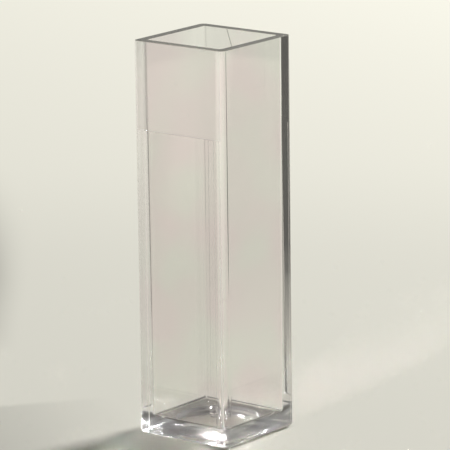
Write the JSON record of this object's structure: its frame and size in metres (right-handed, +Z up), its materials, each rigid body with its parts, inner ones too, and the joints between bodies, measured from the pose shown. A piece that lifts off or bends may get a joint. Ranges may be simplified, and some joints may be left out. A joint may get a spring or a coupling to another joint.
{
  "type": "cuvette",
  "caption": "Clear square sample cell, open at the top, with two recessed optical windows and a 10 mm light path.",
  "frame": {"origin": "centre of the base, on the plane the cuvette stands on", "axes": "+Z up to the open mouth; the two optical windows face -Y and +Y, the two plain flanks face -X and +X"},
  "size_m": [0.0126, 0.0126, 0.045],
  "materials": {
    "clear_plastic": "clear moulded polystyrene, glossy; the top 10 mm of the window walls is slightly satin"
  },
  "bodies": {
    "root": {"cuvette": "clear_plastic"}
  },
  "joints": []
}
